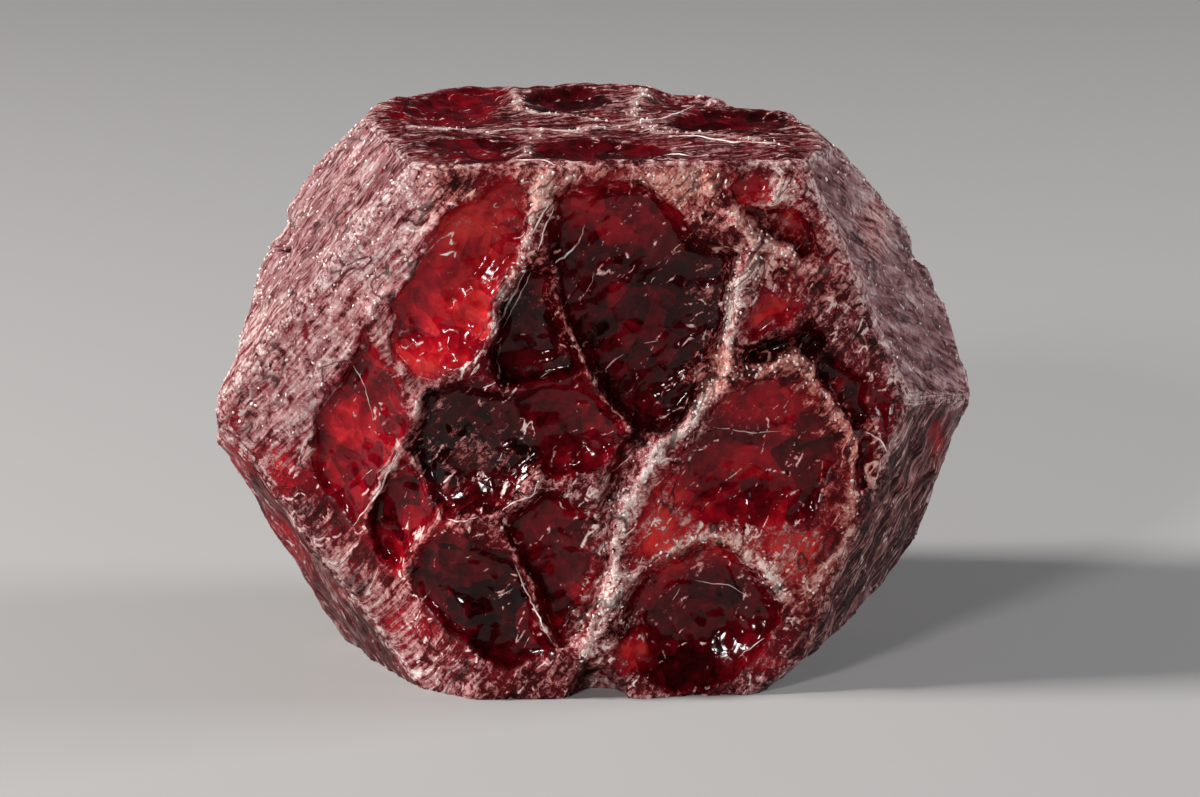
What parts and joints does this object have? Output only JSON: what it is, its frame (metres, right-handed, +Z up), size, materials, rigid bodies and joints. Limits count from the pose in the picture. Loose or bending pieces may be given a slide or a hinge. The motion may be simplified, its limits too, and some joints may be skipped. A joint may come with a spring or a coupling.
{
  "type": "ruby crystal",
  "caption": "Rough natural ruby crystal, a barrel-shaped block with a flat top and foot, glassy red hollows and a pale veined skin.",
  "frame": {"origin": "middle of the stone's bounding box, at the height of its flat foot", "axes": "+Z up, the broken front face looks along -Y, +X to the right as that face is seen"},
  "size_m": [0.0378, 0.0244, 0.0267],
  "materials": {
    "ruby": "rough natural ruby: glassy dark red breaks, see-through at the edges, under a pale pink-grey skin"
  },
  "bodies": {
    "root": {"ruby_crystal": "ruby"}
  },
  "joints": []
}
